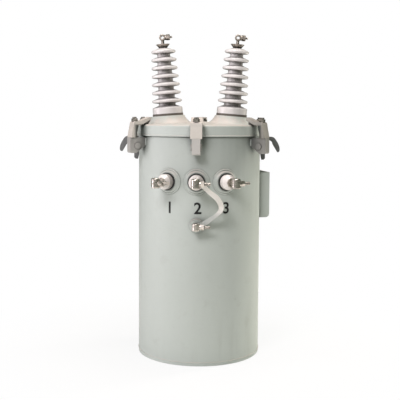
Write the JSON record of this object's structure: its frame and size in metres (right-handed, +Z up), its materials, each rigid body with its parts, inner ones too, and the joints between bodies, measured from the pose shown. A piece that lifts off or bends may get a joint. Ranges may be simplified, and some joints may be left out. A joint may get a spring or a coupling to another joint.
{
  "type": "pole mounted transformer",
  "caption": "Cylindrical oil-filled transformer with leaning porcelain bushings on a clamped cover, front low voltage bushings, an earth strap and rear pole hangers.",
  "frame": {"origin": "middle of the base, on the floor", "axes": "+Z up the tank axis, -Y towards the low voltage bushings, +Y towards the pole"},
  "size_m": [0.53, 0.5745, 1.0493],
  "materials": {
    "tank_paint": "gloss",
    "clamp_paint": "satin",
    "lifting_steel": "satin",
    "bolt_steel": "satin",
    "gasket_rubber": "matte",
    "grey_porcelain": "gloss",
    "white_porcelain": "gloss",
    "tinned_bronze": "satin",
    "strap_braid": "satin",
    "core_in_oil": "matte"
  },
  "bodies": {
    "root": {"clamp_arm_1": "clamp_paint", "clamp_arm_2": "clamp_paint", "clamp_arm_3": "clamp_paint", "clamp_arm_4": "clamp_paint", "clamp_arm_5": "clamp_paint", "clamp_arm_6": "clamp_paint", "clamp_bolts": "bolt_steel", "clamp_lug_1": "clamp_paint", "clamp_lug_2": "clamp_paint", "clamp_lug_3": "clamp_paint", "clamp_lug_4": "clamp_paint", "clamp_lug_5": "clamp_paint", "clamp_lug_6": "clamp_paint", "clamp_pins": "bolt_steel", "cover": "tank_paint", "cover_gasket": "gasket_rubber", "ground_pad": "tank_paint", "ground_strap": "strap_braid", "ground_terminal": "tinned_bronze", "hanger_lower": "tank_paint", "hanger_upper": "tank_paint", "high_voltage_bushing_left": "grey_porcelain", "high_voltage_bushing_right": "grey_porcelain", "high_voltage_cap_left": "tinned_bronze", "high_voltage_cap_right": "tinned_bronze", "high_voltage_gaskets": "gasket_rubber", "high_voltage_screws": "tinned_bronze", "high_voltage_terminal_left": "tinned_bronze", "high_voltage_terminal_right": "tinned_bronze", "lifting_lug_left": "lifting_steel", "lifting_lug_right": "lifting_steel", "low_voltage_bushing_left": "white_porcelain", "low_voltage_bushing_middle": "white_porcelain", "low_voltage_bushing_right": "white_porcelain", "low_voltage_gaskets": "gasket_rubber", "low_voltage_screws": "tinned_bronze", "low_voltage_terminal_left": "tinned_bronze", "low_voltage_terminal_middle": "tinned_bronze", "low_voltage_terminal_right": "tinned_bronze", "nameplate_bracket": "tank_paint", "tank_bottom": "tank_paint", "tank_fill": "core_in_oil", "tank_shell": "tank_paint"}
  },
  "joints": []
}
